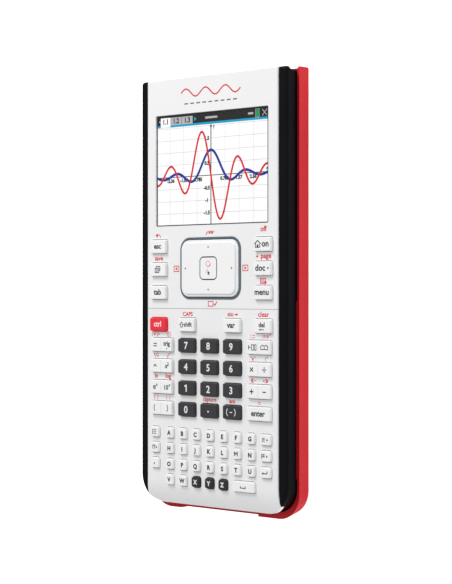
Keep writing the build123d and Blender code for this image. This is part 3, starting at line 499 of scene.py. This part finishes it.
def trig(m, x):
    """The word, with a small down arrow under it."""
    m.text("trig", x, 0.45, 2.9, 0.08)
    m.prism([(x - 0.45, -1.5), (x, -2.05), (x + 0.45, -1.5)])


def caret(m, x):
    m.stroke([(x - 0.9, -0.4), (x, 0.55), (x + 0.9, -0.4)], 0.44)


def squared(m, x):
    m.text("x", x - 0.4, -0.1, 3.3, 0.06, 0.25)
    m.text("2", x + 0.85, 0.85, 2.1, 0.05)


def e_to_x(m, x):
    m.text("e", x - 0.45, -0.1, 3.5, 0.07)
    m.text("x", x + 0.9, 0.9, 2.1, 0.05, 0.25)


def ten_to_x(m, x):
    m.text("10", x - 0.45, -0.1, 2.9, 0.07)
    m.text("x", x + 1.65, 0.9, 2.0, 0.05, 0.25)


def open_bracket(m, x):
    m.arc(x + 1.3, 0, 2.0, 135, 225, 0.38)


def close_bracket(m, x):
    m.arc(x - 1.3, 0, 2.0, -45, 45, 0.38)


def template(m, x):
    """A bar joined to two upright frames."""
    m.frame(x + 0.5, 0, 1.1, 2.3, 0.3)
    m.frame(x + 2.1, 0, 0.9, 2.3, 0.3)
    m.box(x - 1.6, 0.0, 0.4, 1.9)
    m.stroke([(x - 1.5, 0.0), (x - 0.5, 0.0)], 0.34)


def book(m, x):
    cover = [(-1.9, -0.9), (-1.9, 0.6), (-1.0, 1.1), (0, 0.6), (1.0, 1.1), (1.9, 0.6), (1.9, -0.9)]
    m.stroke([(x + dx, y) for dx, y in cover], 0.34)
    m.stroke([(x - 1.9, -0.9), (x, -0.7), (x + 1.9, -0.9)], 0.34)
    m.stroke([(x, 0.6), (x, -0.7)], 0.28)


def times(m, x):
    for s in (-1, 1):
        m.stroke([(x - 0.85, -0.85 * s), (x + 0.85, 0.85 * s)], 0.46)


def divide(m, x):
    m.box(x, 0, 2.2, 0.42)
    for dy in (0.85, -0.85):
        m.disc(x, dy, 0.32, 12)


def plus(m, x):
    m.box(x, 0, 2.2, 0.46)
    m.box(x, 0, 0.46, 2.2)


def minus(m, x):
    m.box(x, 0, 1.9, 0.46)


double_key("equals_trig_key", equals, trig)
double_key("power_square_key", caret, squared)
double_key("exponent_key", e_to_x, ten_to_x)
double_key("bracket_key", open_bracket, close_bracket)
double_key("template_catalog_key", template, book)
double_key("multiply_divide_key", times, divide)
double_key("plus_minus_key", plus, minus)

LETTER_X = 7.95            # spacing of the letters, whose fourth column is in the middle
MIDDLE_COLUMN = 3
LETTER_ROWS = (-62.2, -69.15, -76.15, -83.1)
LEFT_X, RIGHT_X = -32.9, 32.2          # the keys at the ends of the rows


def capital_m(m):
    """An M of two stems and a V, because the font's own closes up when it is made bold."""
    for x in (-0.87, 0.87):
        m.box(x, 0, 0.4, 1.9)
    m.prism([(-1.0, 0.95), (-0.55, 0.95), (0, 0.05), (0.55, 0.95), (1.0, 0.95), (0, -0.65)])


def side_arrow(m, x):
    m.prism([(x - 0.35, 0.55), (x + 0.5, 0), (x - 0.35, -0.55)])


def double_e(m):
    for dx in (-0.7, 0.7):
        m.stroke([(dx + 0.45, 0.95), (dx - 0.35, 0.95), (dx - 0.35, -0.95), (dx + 0.45, -0.95)], 0.28)
        m.box(dx, 0, 0.7, 0.26)


def marks_menu(m):
    m.text("?!", -0.75, 0, 2.6, 0.07)
    side_arrow(m, 1.35)


def pi_menu(m):
    m.stroke([(-1.4, 0.8), (0.7, 0.8)], 0.34)
    for dx in (-0.9, 0.2):
        m.stroke([(dx, 0.8), (dx, -0.85)], 0.34)
    side_arrow(m, 1.4)


def flag(m):
    m.stroke([(-1.6, -1.0), (-1.6, 1.0)], 0.36)
    m.stroke([(-1.6, 0.85), (-0.2, 0.7), (-0.6, 0.25), (-0.2, -0.2), (-1.6, -0.1)], 0.32)
    side_arrow(m, 1.2)


def comma(m):
    m.stroke([(0.15, 0.1), (-0.2, -0.75)], 0.5)


def return_arrow(m):
    m.stroke([(1.3, 0.75), (1.3, -0.3), (-0.9, -0.3)], 0.36)
    m.prism([(-1.7, -0.3), (-0.8, 0.3), (-0.8, -0.9)])


def letter_print(node, material=DARK_INK, slot="chip_black"):
    return Print(f"{node}_legend", node, material, slot, LETTER_TOP_Z)


def letters_on(m, characters, row, first_column):
    """Letters side by side in one row, the first of them in first_column."""
    for column, character in enumerate(characters, first_column - MIDDLE_COLUMN):
        m.at(column * LETTER_X, LETTER_ROWS[row])
        if character == "M":
            capital_m(m)
        else:
            m.text(character, 0, 0, LETTER, LETTER_BOLD)


FULL_ROWS = (("ABCDEFG", double_e, marks_menu), ("HIJKLMN", pi_menu, flag),
             ("OPQRSTU", comma, return_arrow))
for row, (characters, left, right) in enumerate(FULL_ROWS):
    mark = letter_print(f"letter_keys_row_{row + 1}")
    letters_on(mark, characters, row, 0)
    left(mark.at(LEFT_X, LETTER_ROWS[row]))
    right(mark.at(RIGHT_X, LETTER_ROWS[row]))
    mark.finish()

mark = letter_print("letter_keys_row_4")
letters_on(mark, "VW", 3, 0)
mark.at(2.5 * LETTER_X, LETTER_ROWS[3])     # the space bar's mark
mark.stroke([(-1.4, 0.35), (-1.4, -0.45), (1.4, -0.45), (1.4, 0.35)], 0.38)
mark.finish()
mark = letter_print("xyz_keys", LIGHT_INK, "white_key")
letters_on(mark, "XYZ", 3, 2)
mark.finish()


# ---- second functions printed on the faceplates ------------------------------------------------

second = Print("upper_second_legends", "case", RED_INK, "red_key", FACE_Z)
second.at(-31.4, 25.9)                      # an arrow that turns back
second.arc(-0.1, -0.75, 1.25, -10, 120, 0.38)
second.prism([(-2.0, 0.1), (-0.55, 1.15), (-0.45, -0.75)])
second.at(0, 0)
second.text("save", -31.1, 15.6, 3.0, 0.07)
second.text("off", 30.5, 27.4, 3.2, 0.07)
second.text("page", 31.9, 15.9, 3.2, 0.09)  # with a plus before it
second.box(27.0, 15.9, 1.3, 0.4)
second.box(27.0, 15.9, 0.4, 1.3)
second.at(30.4, 5.3)                        # a menu with a pointer over its corner
second.frame(-0.2, 0.1, 2.9, 2.2, 0.34)
for line in (0.55, 0.0, -0.5):
    second.box(-0.35, line, 1.9, 0.24)
second.prism([(0.5, 0.2), (2.3, -0.7), (1.4, -0.9), (1.1, -1.8)])
second.at(0, 26.5)                          # a small hand above the touchpad
second.stroke([(-2.6, -0.8), (-1.8, 0.4), (-1.0, 0.6)], 0.42)
for dx in (-0.5, 0.5, 1.4):
    second.box(dx, 0.1, 0.72, 0.8)
second.stroke([(-0.8, 0.75), (2.4, 0.75)], 0.3)
for side in (-1, 1):                        # page back and page on, beside the touchpad
    second.at(side * 20.3, 11.0)
    second.frame(0, 0, 2.9, 2.4, 0.36)
    second.prism([(-side * 0.5, 0.75), (side * 0.8, 0.0), (-side * 0.5, -0.75)][::side])
second.at(0.2, -4.5)                        # a frame with a tick, below it
second.frame(0, 0, 2.8, 2.1, 0.36)
second.stroke([(1.8, 0.0), (2.5, -0.7), (3.8, 1.0)], 0.46)
second.finish()

second = Print("lower_second_legends", "case", RED_INK, "red_key", FACE_Z)
second.text("CAPS", -13.5, -9.1, 2.6, 0.07)
second.text("sto", 11.8, -9.15, 2.7, 0.07)  # with an arrow after it
second.stroke([(14.0, -9.1), (15.4, -9.1)], 0.36)
second.prism([(15.1, -8.5), (16.3, -9.1), (15.1, -9.7)])
second.text("clear", 30.5, -9.1, 3.1, 0.07)
second.at(-32.9, -18.35)                    # not equal, greater than, and so on
second.stroke([(-2.1, 0.8), (-2.4, 0.8), (-2.4, -0.8), (-2.1, -0.8)], 0.22)
for dy in (0.28, -0.28):
    second.box(-0.9, dy, 1.3, 0.22)
second.stroke([(-1.3, -0.75), (-0.5, 0.75)], 0.2)
second.stroke([(0.4, 0.65), (1.5, 0.1), (0.4, -0.4)], 0.22)
second.box(0.95, -0.75, 1.1, 0.2)
second.prism([(2.0, 0.35), (2.6, 0.0), (2.0, -0.35)])
second.at(-25.0, -18.3)                     # a question mark in a ring
second.loop(0, 0, 1.05, 0.22)
second.text("?", 0, 0, 1.9, 0.065)
second.at(24.5, -18.4)                      # a list of two lines
for dy in (0.5, -0.5):
    second.box(0.45, dy, 1.9, 0.24)
    second.disc(-1.2, dy, 0.22, 10)
second.at(32.2, -18.3)                      # infinity, beta and a degree
second.loop(-1.7, 0.1, 0.5, 0.2, 12)
second.loop(-0.7, 0.1, 0.5, 0.2, 12)
BETA = [(0.35, -0.9), (0.35, 0.6), (0.9, 0.8), (1.1, 0.3), (0.5, 0.0), (1.1, -0.35), (0.4, -0.6)]
second.stroke(BETA, 0.2)
second.loop(2.0, 0.7, 0.28, 0.16, 10)
second.at(-32.7, -27.8)                     # the nth root and the square root
second.stroke([(-1.3, -0.1), (-0.9, -0.1), (-0.5, -0.95), (0.1, 0.85), (1.7, 0.85)], 0.22)
second.text("n", -1.25, 0.65, 1.3, 0.065)
second.text("x", 0.95, -0.2, 1.8, 0.065)
second.at(-25.3, -27.8)
second.stroke([(-1.2, -0.1), (-0.8, -0.1), (-0.35, -0.95), (0.25, 0.85), (1.5, 0.85)], 0.24)
second.at(24.6, -28.0)                      # x in inch marks, and an exclamation mark and a degree
second.text("x", 0, 0, 2.3, 0.065)
for dx in (-1.35, -0.95, 0.95, 1.35):
    second.box(dx, 0.75, 0.2, 0.6)
second.at(31.9, -27.9)
second.text("!", -0.2, 0, 2.4, 0.04)
second.loop(0.75, 0.7, 0.28, 0.16, 10)
second.at(0, 0)
second.text("ln", -32.7, -37.2, 2.7, 0.07)
second.text("log", -25.4, -37.15, 2.8, 0.08)
DIAL, DIAL_SIDES = 0.8, 16
for x, sign in ((24.5, -1), (32.1, 1)):     # less and more contrast: a half-filled ring by a - or a +
    second.at(x, -37.25)
    second.loop(0, 0, DIAL, 0.22, DIAL_SIDES)
    turns = [2 * math.pi * i / DIAL_SIDES for i in range(DIAL_SIDES // 2 + 1)]
    second.prism([(DIAL * math.sin(t) * sign, DIAL * math.cos(t)) for t in turns][::-sign])
    second.box(-1.6 * sign, 0, 0.9, 0.22)
    if sign > 0:
        second.box(-1.6, 0, 0.22, 0.9)
SQUARE = [(0.7, 0.85), (1.1, 0.85), (1.1, -0.85), (0.7, -0.85)]
CURLY = [(0.7, 0.9), (0.95, 0.7), (0.95, 0.2), (1.2, 0.0), (0.95, -0.2), (0.95, -0.7), (0.7, -0.9)]
for x, bracket, width in ((-32.9, SQUARE, 0.22), (-25.4, CURLY, 0.2)):
    second.at(x, -46.75)
    for side in (-1, 1):
        second.stroke([(side * dx, y) for dx, y in bracket], width)
second.at(0, 0)
second.text("capture", -0.3, -46.6, 2.55, 0.06)
second.text("ans", 12.8, -46.75, 2.6, 0.07)
second.at(28.2, -46.75)                     # about equal
WAVY = [(-0.85, -0.12), (-0.4, 0.14), (0.0, 0.0), (0.4, -0.14), (0.85, 0.12)]
for dy in (0.4, -0.4):
    second.stroke([(x, dy + y) for x, y in WAVY], 0.24)
second.finish()


# ---- touchpad marks ----------------------------------------------------------------------------

OUTLINE_DROP = 0.35        # the outline lies in the groove around the centre, this far under the top

pad = Print("touchpad_arrows", "pad_cap", DARK_INK, "chip_black", PAD_TOP_Z).at(0, PAD_Y)
ARROW = [(0.45, 0.0), (-0.35, 0.5), (-0.35, -0.5)]
for dx, dy, turn in ((0, 9.4, 90), (0, -9.4, -90), (-13.7, 0, 180), (13.7, 0, 0)):
    c, s = math.cos(math.radians(turn)), math.sin(math.radians(turn))
    pad.prism([(dx + c * x - s * y, dy + s * x + c * y) for x, y in ARROW])
pad.at(0, PAD_Y - 1.9)                      # a pointer with three sparks
POINTER = [(-0.3, 0.9), (1.1, -0.3), (0.4, -0.35), (0.8, -1.1), (0.4, -1.25), (0.05, -0.5), (-0.35, -0.95)]
pad.prism(POINTER)
for dx, dy in ((-1.0, 0.9), (-1.25, 0.2), (-0.3, 1.5)):
    pad.box(dx, dy, 0.3, 0.3)
pad.finish()
outline = Print("touchpad_centre_outline", "pad_cap", DARK_INK, "chip_black", PAD_TOP_Z - OUTLINE_DROP)
outline.at(0, PAD_Y).stroke(rounded(9.85, 9.85, 1.9), 0.5, closed=True)
outline.finish()
hand = Print("touchpad_hand", "pad_cap", RED_INK, "red_key", PAD_TOP_Z).at(0, PAD_Y + 1.8)
hand.stroke([(-1.3, 0.5), (-0.9, 1.2), (-0.1, 1.4), (0.6, 1.2), (1.0, 0.6)], 0.22)
hand.stroke([(-1.3, 0.5), (-1.2, -0.4), (-0.5, -1.0), (0.4, -1.0), (0.9, -0.3)], 0.22)
hand.stroke([(1.3, 0.3), (0.9, -1.0)], 0.34)
hand.finish()


# ---- display picture ---------------------------------------------------------------------------

LAYER_STEP = 0.006         # from one layer of the picture to the next
LAYER = 0.005              # and a layer's own thickness


class Screen(Print):
    """Marks of the display's picture, stacked a few microns apart."""
    layers = 0

    def __init__(self, name, material):
        Screen.layers += 1
        z = LCD_TOP_Z + LAYER_STEP * Screen.layers
        super().__init__(name, "case", material, "display_image", z, LAYER)


LEFT, RIGHT = -33.0, 33.0
TOP, BOTTOM = SCREEN_Y + 24.7, SCREEN_Y - 24.7
HEADER_LOW = 75.0
AXIS_TOP = HEADER_LOW - 1.2
AXIS_X, AXIS_Y = -0.4, 51.9            # where the axes cross
GRID_X, GRID_Y = 8.2, 5.45             # spacing of the grid lines
LINES = range(-4, 5)
X_TICKS = ((-24.6, "-2.36"), (-16.6, "-1.57"), (-8.4, "-0.785"),
           (7.6, "0.785"), (15.9, "1.57"), (24.0, "2.36"))
Y_TICKS = ((-3, "-1.5"), (-2, "-1"), (-1, "-0.5"), (1, "0.5"), (2, "1"), (3, "1.5"))
TICK_BOLD = 0.13

grid = Screen("screen_grid", SCREEN_GRID)
for i in LINES:
    x = AXIS_X + i * GRID_X
    if i and LEFT < x < RIGHT:
        grid.box(x, (HEADER_LOW + BOTTOM) / 2, 0.13, HEADER_LOW - BOTTOM)
for i in LINES:
    y = AXIS_Y + i * GRID_Y
    if i and BOTTOM < y < HEADER_LOW:
        grid.box(0, y, RIGHT - LEFT, 0.18)
grid.finish()

axes = Screen("screen_axes", SCREEN_TEXT)
axes.box(AXIS_X, (AXIS_TOP + BOTTOM) / 2, 0.5, AXIS_TOP - BOTTOM)
axes.box(0, AXIS_Y, RIGHT - LEFT, 0.34)
low, tip = HEADER_LOW - 1.9, HEADER_LOW - 0.5
axes.prism([(AXIS_X - 0.7, low), (AXIS_X + 0.7, low), (AXIS_X, tip)])
axes.prism([(RIGHT - 1.6, AXIS_Y - 0.5), (RIGHT - 0.2, AXIS_Y), (RIGHT - 1.6, AXIS_Y + 0.5)])
for i, words in Y_TICKS:
    axes.text(words, AXIS_X - 2.4, AXIS_Y + i * GRID_Y, 2.3, TICK_BOLD)
for x, words in X_TICKS:
    axes.text(words, x, AXIS_Y - 1.6, 2.2, TICK_BOLD)
axes.text("y", AXIS_X + 1.7, HEADER_LOW - 1.7, 2.2, 0.06)
axes.text("x", RIGHT - 1.2, AXIS_Y + 1.6, 2.2, 0.06)
axes.finish()


PLOT_STEPS = 260
PLOT_MARGIN = 0.05         # keeps the curves' ends inside the picture


def plot(name, material, scale, width, derivative):
    """Draws sin(u)/u, or its derivative, across the display."""
    curve = Screen(name, material)
    points = []
    for i in range(PLOT_STEPS + 1):
        x = LEFT + PLOT_MARGIN + (RIGHT - LEFT - 2 * PLOT_MARGIN) * i / PLOT_STEPS
        u = math.pi * (x - AXIS_X) / GRID_X
        if abs(u) < 1e-3:
            value = 0.0 if derivative else 1.0
        elif derivative:
            value = (u * math.cos(u) - math.sin(u)) / u**2
        else:
            value = math.sin(u) / u
        points.append((x, AXIS_Y + scale * value))
    curve.stroke(points, width)
    curve.finish()


plot("screen_blue_curve", SCREEN_BLUE, 11.1, 1.2, False)
plot("screen_red_curve", SCREEN_RED, 44.3, 0.95, True)

TAB_X = (-27.8, -21.4, -14.6)          # the three page tabs, the first of them in front
BATTERY_X = 26.4
CLOSE_X, CLOSE_Y = 30.45, 77.3

header = Screen("screen_header", SCREEN_DARK)
header.box(0, (TOP + HEADER_LOW) / 2 + 0.1, RIGHT - LEFT, TOP - HEADER_LOW - 0.2)
header.finish()
band = Screen("screen_band", SCREEN_CYAN)
band.box(0, HEADER_LOW - 0.15, RIGHT - LEFT, 1.0)
band.prism([(-10.4, 76.2), (-9.0, 77.2), (-10.4, 78.2)])
band.finish()
tabs = Screen("screen_grey_tabs", SCREEN_GREY)
for x in TAB_X[1:]:
    tabs.box(x, 77.0, 6.6, 3.4)
tabs.box(-0.2, 77.3, 7.2, 0.9)
tabs.box(22.6, 77.3, 3.0, 0.9)
tabs.prism([(-31.9, 77.2), (-31.0, 78.0), (-31.0, 76.4)])
for s in (-1, 1):
    tabs.stroke([(CLOSE_X - 1.35, CLOSE_Y - 1.4 * s), (CLOSE_X + 1.35, CLOSE_Y + 1.4 * s)], 0.34)
tabs.frame(BATTERY_X, 77.2, 2.1, 3.6, 0.2)
tabs.finish()
first_tab = Screen("screen_white_tab", SCREEN_WHITE)
first_tab.box(TAB_X[0], 76.6, 6.0, 4.3)
first_tab.finish()
battery = Screen("screen_battery", SCREEN_GREEN)
battery.box(BATTERY_X, 77.2, 1.6, 3.1)
battery.finish()
labels = Screen("screen_tab_labels", SCREEN_TEXT)
labels.text("1.1", TAB_X[0], 77.0, 3.2, 0.11)
labels.text("1.2", TAB_X[1], 77.1, 3.1, 0.10)
labels.text("1.3", TAB_X[2], 77.1, 3.1, 0.10)
labels.finish()
edge = Screen("screen_border", SCREEN_DARK)
edge.frame(-0.3, SCREEN_Y, 65.2, 49.2, 0.42)
edge.finish()


# ---- emblem above the display ------------------------------------------------------------------

WAVES, WAVE_STEPS = 3, 120
WAVE_WIDTH, WAVE_HEIGHT = 35.0, 1.75
DASHES, DASH_STEP = 9, 3.6

emblem = Print("wave_emblem", "case", RED_INK, "red_key", FACE_Z).at(0, 88.9)
wave = []
for i in range(WAVE_STEPS + 1):
    turn = 2 * math.pi * WAVES * i / WAVE_STEPS
    wave.append((-WAVE_WIDTH / 2 + WAVE_WIDTH * i / WAVE_STEPS, WAVE_HEIGHT * math.sin(turn)))
emblem.stroke(wave, 0.62)
emblem.finish()
emblem = Print("dash_emblem", "case", SLATE_INK, "blue_grey_ring", FACE_Z).at(0, 84.1)
for i in range(DASHES):
    emblem.box((i - DASHES // 2) * DASH_STEP, 0, 2.2, 0.55)
emblem.finish()


# ---- camera, lights and floor ------------------------------------------------------------------

YAW = math.radians(41.6)               # how far the camera looks from the right of straight down
CAMERA_PLACE = (0.4818, 0.00065, 0.5483)
FLOOR = 3.0                            # half the floor's depth, in metres
FLOOR_GAP = 0.00005                    # it lies this far under the part

RIGHT_AXIS = Vector((math.cos(YAW), 0.0, -math.sin(YAW)))
UP_AXIS = Vector((0.0, 1.0, 0.0))
BACK_AXIS = Vector((math.sin(YAW), 0.0, math.cos(YAW)))
camera_data = bpy.data.cameras.new("camera")
camera_data.lens = 101.1
camera_data.sensor_width = 36.0
camera_data.clip_start = 0.01
camera_data.clip_end = 20.0
camera = bpy.data.objects.new("camera", camera_data)
turn = Matrix((RIGHT_AXIS, UP_AXIS, BACK_AXIS)).transposed().to_4x4()
camera.matrix_world = Matrix.Translation(CAMERA_PLACE) @ turn
bpy.context.scene.collection.objects.link(camera)
bpy.context.scene.camera = camera


def area_light(name, place, size, power, glossy=True):
    """A rectangular light that points at the part's middle."""
    data = bpy.data.lights.new(name, "AREA")
    data.shape = "RECTANGLE"
    data.size, data.size_y = size
    data.energy = power
    lamp = bpy.data.objects.new(name, data)
    lamp.location = place
    lamp.visible_glossy = glossy
    lamp.rotation_mode = "QUATERNION"
    lamp.rotation_quaternion = (-Vector(place)).to_track_quat("-Z", "Y")
    bpy.context.scene.collection.objects.link(lamp)


area_light("key", (-0.30, 0.80, 0.62), (0.4, 0.4), 7.0)
area_light("fill", (0.75, 0.15, 0.75), (0.5, 0.9), 1.0, glossy=False)
area_light("low", (0.35, -0.7, 0.35), (0.6, 0.3), 0.45)

world = bpy.data.worlds.new("studio")
world.use_nodes = True
world.node_tree.nodes["Background"].inputs["Color"].default_value = (1, 1, 1, 1)
world.node_tree.nodes["Background"].inputs["Strength"].default_value = 0.54
bpy.context.scene.world = world
bpy.context.scene.view_settings.view_transform = "Standard"

floor_mesh = bpy.data.meshes.new("floor")
corners = [(-2 * FLOOR, -FLOOR, 0), (2 * FLOOR, -FLOOR, 0), (0, 2 * FLOOR, 0)]
floor_mesh.from_pydata(corners, [], [(0, 1, 2)])    # one triangle, so that no seam shows from below
floor = bpy.data.objects.new("floor", floor_mesh)
floor.location.z = -FLOOR_GAP
paint = NodeTree("pale_floor")
paint.shader.inputs["Base Color"].default_value = (0.93, 0.93, 0.93, 1)
paint.shader.inputs["Roughness"].default_value = 0.9
paint.shader.inputs["Specular IOR Level"].default_value = 0.1
paint.shader.inputs["Emission Color"].default_value = (1, 1, 1, 1)
paint.shader.inputs["Emission Strength"].default_value = 0.85
# Its back is clear, so that views from below see the part.
see_through = paint.add("ShaderNodeBsdfTransparent")
chooser = paint.add("ShaderNodeMixShader")
back = paint.add("ShaderNodeNewGeometry")
paint.link(back.outputs["Backfacing"], chooser.inputs["Fac"])
paint.link(paint.shader.outputs["BSDF"], chooser.inputs[1])
paint.link(see_through.outputs["BSDF"], chooser.inputs[2])
paint.link(chooser.outputs["Shader"], paint.tree.nodes["Material Output"].inputs["Surface"])
floor_mesh.materials.append(paint.material)
bpy.context.scene.collection.objects.link(floor)
floor.visible_glossy = False
